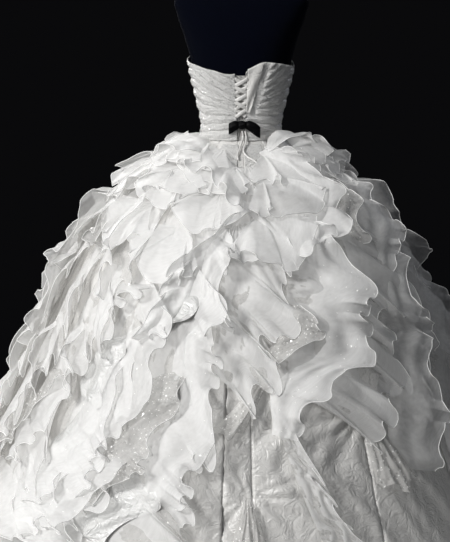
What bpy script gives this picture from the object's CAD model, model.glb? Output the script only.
"""The looks of a strapless ivory ball gown, laced up the back, on a limbless dress form.

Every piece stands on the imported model. Units are metres and +Z is up. The gown's laced back faces
-Y. Angles run in degrees about the Z axis, from 0 at the centre back towards +X, so 90 is the +X
side seam, 180 the centre front and -90 the -X side seam.
"""

import logging
import math
from dataclasses import dataclass, replace
from enum import Enum
from functools import cache
from typing import Callable

import bmesh
import bpy
import numpy as np
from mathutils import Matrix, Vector


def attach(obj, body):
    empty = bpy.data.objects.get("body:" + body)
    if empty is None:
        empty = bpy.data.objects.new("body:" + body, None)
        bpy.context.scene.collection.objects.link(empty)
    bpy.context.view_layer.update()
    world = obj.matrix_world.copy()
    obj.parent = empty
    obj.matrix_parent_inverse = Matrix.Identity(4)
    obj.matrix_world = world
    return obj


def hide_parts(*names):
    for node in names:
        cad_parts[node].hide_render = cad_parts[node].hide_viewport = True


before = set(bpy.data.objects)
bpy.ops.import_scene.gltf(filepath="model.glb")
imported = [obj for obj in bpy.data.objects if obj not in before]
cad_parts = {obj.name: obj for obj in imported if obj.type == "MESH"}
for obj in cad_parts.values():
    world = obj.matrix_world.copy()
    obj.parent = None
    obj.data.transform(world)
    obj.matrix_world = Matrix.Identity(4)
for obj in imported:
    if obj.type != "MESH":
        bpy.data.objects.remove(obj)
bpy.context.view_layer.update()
LOG = logging.getLogger("ball_gown")

Array = np.ndarray
Place = Callable[[Array, Array, Array], tuple[Array, Array]]
Piece = bpy.types.Object
Material = bpy.types.Material
Socket = bpy.types.NodeSocket
Outputs = bpy.types.NodeOutputs
Tree = bpy.types.NodeTree

BODY = "root"
TURN = 2.0 * np.pi
SEAM_GAP = 0.0003
WAIST_Z = 1.074
HEM_Z = 0.012
PANEL_IN = 0.0034
PANEL_FACE = PANEL_IN + 0.0020
EDGE_RADIUS = 0.0011
FLAKE_RADIUS = 0.0026
FLAKE_TILT = 0.6
OUTER_LEAN = 0.3


# ---- small tools --------------------------------------------------------------------------------


def column(rows: tuple, number: int) -> list:
    """One column of a table of rows."""
    return [row[number] for row in rows]


def smooth(place: Array | float, places: tuple, values: tuple) -> Array:
    """Reads a smooth curve through the values of a short table.

    Args:
        place: Where to read it.
        places: The table's own places, rising.
        values: Its values there.

    Returns:
        The curve's values.
    """
    places, values = np.asarray(places, float), np.asarray(values, float)
    slopes = np.gradient(values, places)
    x = np.clip(np.asarray(place, float), places[0], places[-1])
    k = np.clip(np.searchsorted(places, x, side="right") - 1, 0, len(places) - 2)
    span = places[k + 1] - places[k]
    t = (x - places[k]) / span
    near = (2 * t**3 - 3 * t**2 + 1) * values[k] + (t**3 - 2 * t**2 + t) * span * slopes[k]
    return near + (3 * t**2 - 2 * t**3) * values[k + 1] + (t**3 - t**2) * span * slopes[k + 1]


def read(rows: tuple, place: Array | float, *numbers: int) -> list[Array]:
    """Reads columns of a table smoothly, at places in its first column."""
    return [smooth(place, column(rows, 0), column(rows, k)) for k in numbers]


def read_straight(rows: tuple, place: Array | float) -> Array:
    """Reads a table's second column in straight lines, at places in its first."""
    return np.interp(place, column(rows, 0), column(rows, 1))


def smooth_step(value: Array | float) -> Array:
    """0 to 1 with level ends."""
    value = np.clip(value, 0.0, 1.0)
    return value * value * (3.0 - 2.0 * value)


def wander(place: Array, seed: float) -> Array:
    """An uneven wave between about -1 and 1, always the same for a seed.

    Args:
        place: Where to read it, in turns.
        seed: Which wave it is.

    Returns:
        Its height.
    """
    draw = np.random.default_rng(int(abs(seed) * 97) + 11)
    total = np.zeros(np.shape(place))
    for share, rate in ((0.5, 1.0), (0.32, 1.73), (0.18, 2.91)):
        total = total + share * np.sin(TURN * (rate * place + draw.random()))
    return total


def shares(rows: int, columns: int, first: float = 0.0) -> tuple[Array, Array]:
    """Shares of 0 to 1 down a grid of points, and of first to 1 across it."""
    return np.meshgrid(np.linspace(0.0, 1.0, rows), np.linspace(first, 1.0, columns), indexing="ij")


def spread(*values: Array | float) -> list[Array]:
    """The values as arrays of one shape."""
    return np.broadcast_arrays(*(np.asarray(value, float) for value in values))


def unit(vectors: Array) -> Array:
    """The same directions, one unit long."""
    return vectors / np.maximum(np.linalg.norm(vectors, axis=-1, keepdims=True), 1e-9)


def lengths_along(grid: Array, axis: int) -> Array:
    """The running length of a grid of points along one of its axes."""
    steps = np.linalg.norm(np.diff(grid, axis=axis), axis=2)
    return np.pad(np.cumsum(steps, axis=axis), [(1 - axis, 0), (axis, 0)])


def route_length(route: Array) -> float:
    """The length of a row of points."""
    return float(np.linalg.norm(np.diff(route, axis=0), axis=1).sum())


def linked(name: str, data: bpy.types.ID) -> Piece:
    """Puts a new object into the scene.

    Args:
        name: Its name.
        data: Its mesh, lamp or camera.

    Returns:
        The object.
    """
    piece = bpy.data.objects.new(name, data)
    bpy.context.scene.collection.objects.link(piece)
    return piece


def mesh_object(name: str, points: Array, faces: list, material: Material) -> Piece:
    """A smooth object of points and faces.

    Args:
        name: Its name.
        points: Its points.
        faces: Its faces, as rows of point numbers.
        material: Its material.

    Returns:
        The object.
    """
    mesh = bpy.data.meshes.new(name)
    mesh.from_pydata(points.reshape(-1, 3).tolist(), [], faces)
    mesh.materials.append(material)
    mesh.shade_smooth()
    mesh.update()
    return linked(name, mesh)


def grid_faces(rows: int, columns: int, closed: bool = False) -> list:
    """Quads of a grid of points, turned so that rows x columns gives the outer side.

    Args:
        rows: Rows of points.
        columns: Points in each row.
        closed: Whether the last column joins the first.

    Returns:
        The faces, as rows of point numbers.
    """
    row, across = np.meshgrid(np.arange(rows - 1), np.arange(columns - 1 + closed), indexing="ij")
    a, b = row * columns + across, row * columns + (across + 1) % columns
    return np.stack([a, b, b + columns, a + columns], axis=-1).reshape(-1, 4).tolist()


def ring_object(name: str, rings: Array, material: Material) -> Piece:
    """A closed solid through rings of equal count, capped at both ends.

    Args:
        name: Its name.
        rings: Points, rings x sides.
        material: Its material.

    Returns:
        The object.
    """
    count, sides = rings.shape[:2]
    faces = grid_faces(count, sides, closed=True)
    points = np.concatenate([rings.reshape(-1, 3), rings[[0, -1]].mean(axis=1)])
    low, last_ring = count * sides, (count - 1) * sides
    for j in range(sides):
        k = (j + 1) % sides
        faces += [[low, k, j], [low + 1, last_ring + j, last_ring + k]]
    piece = mesh_object(name, points, faces, material)
    built = bmesh.new()
    built.from_mesh(piece.data)
    bmesh.ops.recalc_face_normals(built, faces=built.faces)
    if built.calc_volume(signed=True) < 0:
        bmesh.ops.reverse_faces(built, faces=built.faces)
    built.to_mesh(piece.data)
    built.free()
    return piece


def smooth_route(marks: list, steps: int = 8) -> Array:
    """Points along a smooth curve through a few marks.

    Args:
        marks: The points that it goes through.
        steps: How many steps each stretch has.

    Returns:
        The points.
    """
    marks = np.array(marks)
    last = len(marks) - 1
    values = np.linspace(0.0, last, last * steps + 1)
    return np.stack([smooth(values, range(last + 1), marks[:, k]) for k in range(3)], axis=1)


def tube_rings(route: Array, radius: float, sides: int, flat: float = 1.0) -> Array:
    """Rings of points along a cord.

    Args:
        route: The cord's centreline.
        radius: Its radius.
        sides: Points in each ring.
        flat: Depth of the section as a share of its width.

    Returns:
        Points, rings x sides.
    """
    ahead = unit(np.gradient(route, axis=0))
    side = unit(np.cross(ahead, unit(route * np.array([1.0, 1.0, 0.0]))))
    top = np.cross(side, ahead)
    turn = TURN * np.arange(sides) / sides
    return (route[:, None] + radius * np.cos(turn)[None, :, None] * side[:, None]
            + radius * flat * np.sin(turn)[None, :, None] * top[:, None])


class Nodes:
    """A node tree that is written one node at a time."""

    def __init__(self, tree: Tree) -> None:
        """Takes the tree up."""
        self.tree = tree

    @classmethod
    def group(cls, name: str, family: str, inputs: dict) -> tuple["Nodes", Outputs]:
        """Starts a node group.

        Args:
            name: The group's name.
            family: Shader or Geometry.
            inputs: The default value, or else the kind of socket, of each named input.

        Returns:
            The group and the sockets of its inputs.
        """
        tree = bpy.data.node_groups.new(name, family + "NodeTree")
        for label, value in inputs.items():
            kind = value if isinstance(value, str) else {int: "Int", float: "Float"}[type(value)]
            socket = tree.interface.new_socket(name=label, in_out="INPUT", socket_type="NodeSocket" + kind)
            if kind != value:
                socket.default_value = value
        nodes = cls(tree)
        return nodes, nodes.add("NodeGroupInput")

    def close(self, **results: Socket) -> Tree:
        """Ends a node group.

        Args:
            results: The socket that feeds each named result.

        Returns:
            The finished tree.
        """
        kinds = {"VALUE": "Float", "VECTOR": "Vector", "GEOMETRY": "Geometry"}
        for label, socket in results.items():
            self.tree.interface.new_socket(name=label, in_out="OUTPUT",
                                           socket_type="NodeSocket" + kinds[socket.type])
        self.add("NodeGroupOutput", results)
        return self.tree

    def add(self, kind: str, feeds: dict | None = None, **options: object) -> Outputs:
        """Adds a node.

        Args:
            kind: Its type.
            feeds: The plain value or the socket that feeds each of its inputs.
            options: Its own settings.

        Returns:
            Its output sockets.
        """
        node = self.tree.nodes.new(kind)
        for option, value in options.items():
            setattr(node, option, value)
        self.feed(node, feeds or {})
        return node.outputs

    def feed(self, node: bpy.types.Node, feeds: dict) -> None:
        """Sets a node's inputs to plain values or links them to sockets.

        Args:
            node: The node.
            feeds: The plain value or the socket that feeds each input.
        """
        for label, value in feeds.items():
            if isinstance(value, Socket):
                self.tree.links.new(value, node.inputs[label])
            else:
                node.inputs[label].default_value = value

    def math(self, operation: str, *values: float | Socket, family: str = "ShaderNodeMath") -> Socket:
        """The result of a sum with plain values or sockets."""
        return self.add(family, dict(enumerate(values)), operation=operation)[0]

    def vector(self, operation: str, *values: tuple | Socket) -> Socket:
        """The result of a sum with vectors."""
        return self.math(operation, *values, family="ShaderNodeVectorMath")

    def between(self, share: Socket, low: float, high: float) -> Socket:
        """A value that goes from low to high as a share goes from 0 to 1."""
        return self.add("ShaderNodeMapRange", {"Value": share, "To Min": low, "To Max": high})["Result"]

    def bump(self, height: Socket, depth: float, **feeds: Socket) -> Socket:
        """The normal that a height gives."""
        return self.add("ShaderNodeBump", {"Strength": 1.0, "Distance": depth, "Height": height, **feeds})[0]


# ---- finishes -----------------------------------------------------------------------------------


class Slot(Enum):
    """The record's material slots."""

    JERSEY = "navy_jersey"
    STEEL = "brushed_steel"
    SEQUIN_NET = "sequin_net"
    TULLE = "glitter_tulle"
    SATIN = "ivory_satin"
    ORGANZA = "ivory_organza"
    BLACK_SATIN = "black_satin"


class Effects:
    """Shader node groups that several finishes share, each built once."""

    @staticmethod
    @cache
    def grain() -> Tree:
        """Fine threads of cloth.

        Returns:
            A group that gives a height and a tint over the surface.
        """
        group, given = Nodes.group("cloth_grain", "Shader",
                                   {"Vector": "Vector", "Scale": 900.0, "Slub": 0.4})
        place, scale = given["Vector"], given["Scale"]
        warp, weft = (group.add("ShaderNodeTexWave", {"Distortion": 0.6, "Vector": place, "Scale": scale},
                                bands_direction=way)["Fac"] for way in "XY")
        slub = group.add("ShaderNodeTexNoise", {"Scale": 60.0, "Detail": 4.0, "Vector": place})["Fac"]
        height = group.math("MULTIPLY_ADD", slub, given["Slub"], group.math("ADD", warp, weft))
        return group.close(Height=height, Tint=slub)

    @staticmethod
    @cache
    def creases() -> Tree:
        """Soft creases at a few sizes.

        Returns:
            A group that gives their height.
        """
        group, given = Nodes.group("soft_creases", "Shader",
                                   {"Vector": "Vector", "Size": 16.0, "Sharp": 0.6})
        broad = group.add("ShaderNodeTexNoise", {
            "Detail": 3.0, "Distortion": 1.2, "Vector": given["Vector"], "Scale": given["Size"],
            "Roughness": given["Sharp"]})["Fac"]
        return group.close(Height=group.math("PINGPONG", broad, 0.5))

    @staticmethod
    @cache
    def sparkle() -> Tree:
        """Small flakes caught at random angles.

        Returns:
            A group that gives their mask and a turned normal.
        """
        group, given = Nodes.group("glitter_flakes", "Shader",
                                   {"Vector": "Vector", "Scale": 420.0, "Share": 0.7, "Tilt": 0.9})
        cells = group.add("ShaderNodeTexVoronoi",
                          {"Vector": given["Vector"], "Scale": given["Scale"]})["Color"]
        first = group.add("ShaderNodeSeparateColor", {0: cells})[0]
        mask = group.math("GREATER_THAN", first, given["Share"])
        tilted = group.add("ShaderNodeVectorMath", {
            0: group.vector("SUBTRACT", cells, (0.5, 0.5, 0.5)),
            "Scale": group.math("MULTIPLY", mask, given["Tilt"])}, operation="SCALE")[0]
        turned = group.vector("ADD", group.add("ShaderNodeNewGeometry")["Normal"], tilted)
        return group.close(Mask=mask, Normal=group.vector("NORMALIZE", turned))


@dataclass(frozen=True)
class Finish:
    """One finish: its colours, its shader's plain values and how much of each effect it shows."""

    name: str
    colour: tuple[float, float, float]
    second: tuple[float, float, float]
    slot: Slot | None = None
    roughness: float = 0.5
    rough_range: float = 0.08
    metallic: float = 0.0
    specular: float = 0.5
    sheen: float = 0.0
    sheen_roughness: float = 0.4
    anisotropic: float = 0.0
    alpha: float = 1.0
    alpha_range: float = 0.0
    shadow_share: float = 1.0
    coat: float = 0.0
    grain_scale: float = 900.0
    grain_depth: float = 0.0
    crease_size: float = 16.0
    crease_depth: float = 0.0
    crease_stretch: float = 0.0
    flakes: float = 0.0
    flake_scale: float = 420.0
    flake_shine: float = -0.30
    by_cloth: bool = True

    @cache
    def build(self) -> Material:
        """Builds the material, once.

        Returns:
            The material.
        """
        material = bpy.data.materials.new(self.name)
        material.use_nodes = True
        nodes = Nodes(material.node_tree)
        place = nodes.add("ShaderNodeTexCoord")["Object"]
        cloth = nodes.add("ShaderNodeUVMap", uv_map="cloth")["UV"]
        grain = nodes.add("ShaderNodeGroup", {"Scale": self.grain_scale,
                                              "Vector": cloth if self.by_cloth else place},
                          node_tree=Effects.grain())
        drawn = place
        if self.crease_stretch > 0.0:
            drawn = nodes.add("ShaderNodeMapping", {"Scale": (self.crease_stretch, 1.0, 1.0),
                                                    "Vector": cloth})["Vector"]
        creases = nodes.add("ShaderNodeGroup", {"Size": self.crease_size, "Vector": drawn},
                            node_tree=Effects.creases())
        tint = grain["Tint"]
        rough = nodes.between(tint, self.roughness - self.rough_range, self.roughness + self.rough_range)
        normal = nodes.bump(grain["Height"], self.grain_depth,
                            Normal=nodes.bump(creases["Height"], self.crease_depth))
        if self.flakes > 0.0:
            flakes = nodes.add("ShaderNodeGroup", {"Scale": self.flake_scale, "Share": 1.0 - self.flakes,
                                                   "Vector": place}, node_tree=Effects.sparkle())
            mask = flakes["Mask"]
            normal = nodes.add("ShaderNodeMix", {"Factor": mask, "A": normal, "B": flakes["Normal"]},
                               data_type="VECTOR")["Result"]
            rough = nodes.math("MULTIPLY_ADD", mask, self.flake_shine, rough)
        feeds = {
            "Base Color": nodes.add("ShaderNodeMix", {"A": (*self.colour, 1.0), "B": (*self.second, 1.0),
                                                      "Factor": tint}, data_type="RGBA")["Result"],
            "Roughness": rough, "Normal": normal, "Metallic": self.metallic,
            "Specular IOR Level": self.specular, "Sheen Weight": self.sheen,
            "Sheen Roughness": self.sheen_roughness, "Anisotropic": self.anisotropic,
            "Coat Weight": self.coat,
        }
        if self.alpha < 1.0:
            sheer = nodes.between(tint, self.alpha - self.alpha_range, self.alpha + self.alpha_range)
            shadow = nodes.add("ShaderNodeLightPath")["Is Shadow Ray"]
            feeds["Alpha"] = nodes.math("MULTIPLY", sheer, nodes.between(shadow, 1.0, self.shadow_share))
        nodes.feed(material.node_tree.nodes["Principled BSDF"], feeds)
        return material


ORGANZA = Finish("soft_ivory_organza", (0.91, 0.905, 0.895), (0.98, 0.98, 0.975), Slot.ORGANZA,
                 roughness=0.42, sheen=0.30, alpha=0.60, alpha_range=0.08, shadow_share=0.58,
                 grain_scale=700.0, grain_depth=0.0001, crease_size=8.0, crease_depth=0.0022)
ORGANZA_SHEER = replace(ORGANZA, name="sheer_ivory_organza", alpha=0.32)
ROLLED = Finish("rolled_edge_thread", (0.97, 0.965, 0.95), (1.0, 1.0, 0.99), roughness=0.30,
                specular=0.7, sheen=0.2, grain_scale=1400.0, grain_depth=0.0001, by_cloth=False)
SATIN = Finish("ivory_bridal_satin", (0.70, 0.69, 0.67), (0.80, 0.79, 0.77), Slot.SATIN,
               roughness=0.22, rough_range=0.05, specular=0.8, sheen=0.10, anisotropic=0.35,
               grain_scale=1500.0, grain_depth=0.00006, crease_size=26.0, crease_depth=0.0075)
SATIN_STRIP = replace(SATIN, name="creased_ivory_satin", colour=(0.62, 0.62, 0.61),
                      second=(0.74, 0.74, 0.73), roughness=0.20, specular=0.9, crease_size=24.0,
                      crease_depth=0.011)
SATIN_CORD = replace(SATIN, name="ivory_satin_cord", by_cloth=False, crease_depth=0.001)
TULLE = Finish("glitter_tulle_layer", (0.70, 0.69, 0.67), (0.80, 0.79, 0.77), Slot.TULLE,
               roughness=0.42, specular=0.7, sheen=0.2, alpha=0.62, alpha_range=0.12,
               shadow_share=0.6, grain_scale=500.0, grain_depth=0.0002, crease_size=14.0,
               crease_depth=0.008, flakes=0.16, flake_scale=260.0)
SEQUIN_NET = Finish("ruched_sequin_net", (0.76, 0.755, 0.74), (0.88, 0.875, 0.86), Slot.SEQUIN_NET,
                    roughness=0.36, specular=0.6, sheen=0.1, grain_scale=600.0, grain_depth=0.0003,
                    crease_size=70.0, crease_depth=0.007, crease_stretch=0.13, flakes=0.30,
                    flake_scale=330.0)
BLACK_SATIN = Finish("black_ribbon_satin", (0.0012, 0.0012, 0.0015), (0.002, 0.002, 0.0025),
                     Slot.BLACK_SATIN, roughness=0.40, specular=0.08, anisotropic=0.3,
                     grain_scale=1500.0, grain_depth=0.00006, crease_size=60.0,
                     crease_depth=0.002, by_cloth=False)
JERSEY = Finish("navy_cotton_jersey", (0.0013, 0.0021, 0.006), (0.002, 0.003, 0.009), Slot.JERSEY,
                roughness=0.92, specular=0.03, sheen=0.005, sheen_roughness=0.6, grain_scale=420.0,
                grain_depth=0.0006, crease_size=8.0, crease_depth=0.001, by_cloth=False)
STEEL = Finish("brushed_stand_steel", (0.50, 0.51, 0.53), (0.60, 0.61, 0.63), Slot.STEEL,
               roughness=0.32, metallic=1.0, anisotropic=0.5, grain_depth=0.0001, crease_size=30.0,
               crease_depth=0.0002, by_cloth=False)
SEQUIN = Finish("clear_pearl_sequin", (0.90, 0.89, 0.87), (1.0, 1.0, 0.99), roughness=0.13,
                rough_range=0.05, specular=1.0, coat=1.0, by_cloth=False)
FLOOR = Finish("pale_studio_floor", (0.62, 0.62, 0.61), (0.66, 0.66, 0.65), roughness=0.7,
               grain_scale=30.0, grain_depth=0.0002, by_cloth=False)


# ---- surfaces that the cloth follows ------------------------------------------------------------


@dataclass(frozen=True)
class TorsoForm:
    """The dress form's body: level sections from named sizes."""

    # height, half_width, half_depth_back, half_depth_front, squareness
    rows: tuple = (
        (0.80, 0.166, 0.122, 0.122, 2.1), (0.90, 0.172, 0.130, 0.125, 2.1),
        (1.00, 0.150, 0.115, 0.110, 2.0), (1.10, 0.115, 0.095, 0.095, 2.0),
        (1.20, 0.130, 0.102, 0.112, 2.1), (1.27, 0.147, 0.106, 0.126, 2.2),
        (1.31, 0.154, 0.107, 0.129, 2.2), (1.38, 0.173, 0.106, 0.116, 2.3),
        (1.45, 0.196, 0.092, 0.094, 2.4), (1.492, 0.200, 0.073, 0.074, 2.4),
        (1.517, 0.168, 0.060, 0.060, 2.3), (1.537, 0.108, 0.056, 0.056, 2.1),
        (1.555, 0.066, 0.055, 0.055, 2.0), (1.590, 0.060, 0.057, 0.057, 2.0),
    )

    def point(self, angle: Array, height: Array, out: Array | float = 0.0) -> Array:
        """Points at a level distance out from the form.

        Args:
            angle: Degrees from the centre back.
            height: Their height.
            out: Their distance from the form.

        Returns:
            The points.
        """
        angle, height, out = spread(angle, height, out)
        half_width, back, front, square = read(self.rows, height, 1, 2, 3, 4)
        turn = np.radians(angle)
        sine, cosine = np.sin(turn), np.cos(turn)
        x = (half_width + out) * np.copysign(np.abs(sine) ** (2.0 / square), sine)
        depth = np.where(cosine > 0, back, front) + out
        y = -depth * np.copysign(np.abs(cosine) ** (2.0 / square), cosine)
        return np.stack([x, y, height], axis=-1)

    def angle_at(self, x: Array, height: Array, out: float) -> Array:
        """Finds where on the back the surface lies a distance from the middle.

        Args:
            x: That distance, below 0 on the left.
            height: The height.
            out: The surface's distance from the form.

        Returns:
            Degrees from the centre back.
        """
        half_width, square = read(self.rows, height, 1, 4)
        share = np.clip(np.abs(x) / (half_width + out), 0.0, 1.0)
        return np.copysign(np.degrees(np.arcsin(share ** (square / 2.0))), x)


@dataclass(frozen=True)
class SkirtForm:
    """The skirt's satin surface: level sections from named sizes."""

    # height, half_width, half_depth_back, half_depth_front
    rows: tuple = (
        (HEM_Z, 0.815, 0.864, 0.793), (0.220, 0.735, 0.778, 0.714), (0.420, 0.644, 0.682, 0.628),
        (0.550, 0.580, 0.615, 0.566), (0.650, 0.535, 0.566, 0.522), (0.750, 0.475, 0.500, 0.464),
        (0.850, 0.395, 0.412, 0.384), (0.930, 0.310, 0.315, 0.298), (0.985, 0.232, 0.224, 0.215),
        (1.025, 0.176, 0.158, 0.154), (1.0737, 0.1264, 0.1035, 0.1026),
    )
    seams: tuple = (-3.5, 2.5, 29, 59, 90, 120, 150, 180, 210, 240, 270, 300, 330)
    top: float = 1.0737
    step_turn: float = 0.6
    step_rise: float = 0.012

    def radius(self, height: Array) -> Array:
        """The radius at the sides."""
        return read_straight(self.rows, height)

    def section(self, angle: Array, height: Array) -> Array:
        """Points of the satin's outer face.

        Args:
            angle: Degrees from the centre back.
            height: Their height.

        Returns:
            The points.
        """
        side, back, front = read(self.rows, height, 1, 2, 3)
        turn = np.radians(angle)
        depth = np.where(np.cos(turn) > 0, back, front)
        return np.stack(spread(side * np.sin(turn), -depth * np.cos(turn), height), axis=-1)

    def below(self, height: float, distance: Array) -> Array:
        """The heights that lie a distance down the slope of the satin.

        Args:
            height: The height to start from.
            distance: How far down the slope.

        Returns:
            The heights reached.
        """
        levels = np.linspace(self.top, HEM_Z, 120)
        run = np.concatenate([[0.0], np.cumsum(np.hypot(np.diff(levels), np.diff(self.radius(levels))))])
        return np.interp(np.interp(-height, -levels, run) + distance, run, levels)

    def point(self, angle: Array, height: Array, out: Array | float = 0.0) -> Array:
        """Points at a distance out from the satin.

        Args:
            angle: Degrees from the centre back.
            height: Their height on the satin.
            out: Their distance from it.

        Returns:
            The points.
        """
        angle, height, out = spread(angle, height, out)
        around = (self.section(angle + self.step_turn, height)
                  - self.section(angle - self.step_turn, height))
        upwards = (self.section(angle, np.minimum(height + self.step_rise, self.top))
                   - self.section(angle, np.maximum(height - self.step_rise, HEM_Z)))
        return self.section(angle, height) + unit(np.cross(around, upwards)) * out[..., None]


TORSO = TorsoForm()
SKIRT = SkirtForm()


# ---- cloth, and what follows its edges or is scattered on it -------------------------------------


class Trims:
    """Geometry Nodes trees for rolled edges and sequins, each built once."""

    @staticmethod
    def dressed(group: Nodes, piece: Socket, given: dict) -> Tree:
        """Ends a tree with real geometry and its material.

        Args:
            group: The tree.
            piece: What it has made.
            given: The sockets of its inputs.

        Returns:
            The finished tree.
        """
        real = group.add("GeometryNodeRealizeInstances", {"Geometry": piece})["Geometry"]
        dress = {"Geometry": real, "Material": given["Material"]}
        return group.close(Geometry=group.add("GeometryNodeSetMaterial", dress)["Geometry"])

    @classmethod
    @cache
    def edges(cls) -> Tree:
        """A round rolled edge along every line of the input.

        Returns:
            The tree.
        """
        group, given = Nodes.group("rolled_edge", "Geometry", {
            "Geometry": "Geometry", "Radius": 0.001, "Sides": 5, "Material": "Material"})
        line = group.add("GeometryNodeMeshToCurve", {"Mesh": given["Geometry"]})["Curve"]
        ring = group.add("GeometryNodeCurvePrimitiveCircle", {
            "Radius": given["Radius"], "Resolution": given["Sides"]})["Curve"]
        tube = group.add("GeometryNodeCurveToMesh", {
            "Curve": line, "Profile Curve": ring, "Fill Caps": True})
        even = group.add("GeometryNodeSetShadeSmooth", {"Geometry": tube["Mesh"]})["Geometry"]
        return cls.dressed(group, even, given)

    @classmethod
    @cache
    def flakes(cls) -> Tree:
        """Small round flakes scattered over the input's faces, each with a small tilt.

        Returns:
            The tree.
        """
        group, given = Nodes.group("scattered_sequins", "Geometry", {
            "Geometry": "Geometry", "Density": 4000.0, "Radius": 0.0013, "Tilt": 0.35, "Seed": 7,
            "Material": "Material"})
        points = group.add("GeometryNodeDistributePointsOnFaces", {
            "Mesh": given["Geometry"], "Density": given["Density"], "Seed": given["Seed"]})
        flake = group.add("GeometryNodeMeshCircle", {"Radius": given["Radius"], "Vertices": 6},
                          fill_type="TRIANGLE_FAN")["Mesh"]
        tilt = group.add("FunctionNodeRandomValue", {
            "Min": group.math("MULTIPLY", given["Tilt"], -1.0), "Max": given["Tilt"],
            "Seed": given["Seed"]}, data_type="FLOAT_VECTOR")["Value"]
        by = group.add("FunctionNodeEulerToRotation", {"Euler": tilt})["Rotation"]
        turn = group.add("FunctionNodeRotateRotation", {"Rotation": points["Rotation"], "Rotate By": by},
                         rotation_space="LOCAL")["Rotation"]
        placed = group.add("GeometryNodeInstanceOnPoints", {
            "Points": points["Points"], "Instance": flake, "Rotation": turn})["Instances"]
        return cls.dressed(group, placed, given)


def settle(piece: Piece, nodes: tuple[str, ...] = ()) -> Piece:
    """Rides a piece on the gown and hides the solids it stands for.

    Args:
        piece: The finished object.
        nodes: The solids that it replaces.

    Returns:
        The piece.
    """
    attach(piece, BODY)
    if nodes:
        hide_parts(*nodes)
    LOG.info("%s: %d faces", piece.name, len(piece.data.polygons))
    return piece


def grown(name: str, start: bpy.types.Mesh, tree: Tree, slot: Slot, **values: object) -> Piece:
    """Runs a tree on a mesh, and settles the result as a plain mesh.

    Args:
        name: The new piece's name.
        start: The mesh that the tree starts from.
        tree: The Geometry Nodes tree.
        slot: The record's slot.
        values: Values of its named inputs.

    Returns:
        The piece.
    """
    carrier = linked(name + "_carrier", start)
    modifier = carrier.modifiers.new("grow", "NODES")
    modifier.node_group = tree
    for item in tree.interface.items_tree:
        if item.in_out == "INPUT" and item.name in values:
            modifier[item.identifier] = values[item.name]
    mesh = bpy.data.meshes.new_from_object(carrier.evaluated_get(bpy.context.evaluated_depsgraph_get()))
    bpy.data.objects.remove(carrier)
    mesh.name = name
    return settle(linked(name, mesh))


def rolled_edge(name: str, line: Array, slot: Slot, radius: float = EDGE_RADIUS,
                finish: Finish = ROLLED) -> Piece:
    """Makes a rolled edge along a line of points.

    Args:
        name: Its name.
        line: The points.
        slot: The record's slot.
        radius: Its radius.
        finish: Its finish.

    Returns:
        The edge.
    """
    mesh = bpy.data.meshes.new(name + "_lines")
    mesh.from_pydata(line.tolist(), [(k, k + 1) for k in range(len(line) - 1)], [])
    return grown(name, mesh, Trims.edges(), slot, Radius=radius, Material=finish.build())


def sequins(name: str, piece: Piece, slot: Slot, density: float, seed: int,
            radius: float = FLAKE_RADIUS) -> Piece:
    """Scatters sequins over a piece of cloth.

    Args:
        name: Their name, as one piece.
        piece: The cloth.
        slot: The record's slot.
        density: How many there are in a square metre.
        seed: Which random places they have.
        radius: Their radius.

    Returns:
        The sequins.
    """
    return grown(name, piece.data.copy(), Trims.flakes(), slot, Density=density, Radius=radius,
                 Seed=seed, Tilt=FLAKE_TILT, Material=SEQUIN.build())


def lay(name: str, grid: Array, finish: Finish, node: str = "", wall: float = 0.0) -> Piece:
    """Lays a sheet of cloth through a grid of points, with a UV map in metres of cloth.

    Args:
        name: The sheet's name.
        grid: Its points, rows x columns.
        finish: Its finish.
        node: The solid that it replaces, if it does.
        wall: The cloth's thickness, or 0 to leave it a single face.

    Returns:
        The sheet.
    """
    down, across = lengths_along(grid, 0), lengths_along(grid, 1)
    normals = unit(np.cross(np.gradient(grid, axis=0), np.gradient(grid, axis=1)))
    outward = grid * np.array([1.0, 1.0, 0.0]) + np.array([0.0, 0.0, OUTER_LEAN])
    if float((normals * outward).sum()) < 0:
        grid, down, across = grid[::-1], down[::-1], across[::-1]
    piece = mesh_object(name, grid, grid_faces(*grid.shape[:2]), finish.build())
    corners = np.empty(len(piece.data.loops), np.int32)
    piece.data.loops.foreach_get("vertex_index", corners)
    flat = np.stack([across.reshape(-1)[corners], down.reshape(-1)[corners]], axis=1)
    piece.data.uv_layers.new(name="cloth").data.foreach_set("uv", flat.astype(np.float32).ravel())
    if wall > 0.0:
        modifier = piece.modifiers.new("wall", "SOLIDIFY")
        modifier.thickness = wall
        modifier.offset = -1.0
        modifier.use_even_offset = False
    return settle(piece, (node,) if node else ())


# ---- the dress form and the satin skirt ---------------------------------------------------------


@dataclass
class DressForm:
    """The limbless form: its jersey body, neck cap, pole and foot."""

    low: float = 0.80
    high: float = 1.590
    rings: int = 110
    sides: int = 96
    inside: float = 0.0004

    def build(self) -> None:
        """Builds the smooth jersey body and dresses the stand."""
        heights = np.linspace(self.low, self.high, self.rings)[:, None]
        angles = 360.0 * np.arange(self.sides) / self.sides
        rings = TORSO.point(angles[None, :], heights, -self.inside)
        settle(ring_object("form_body_jersey", rings, JERSEY.build()), ("form_torso",))
        for node in ("form_neck_cap", "stand_pole", "stand_base"):
            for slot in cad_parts[node].material_slots:
                slot.material = STEEL.build()


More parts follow.
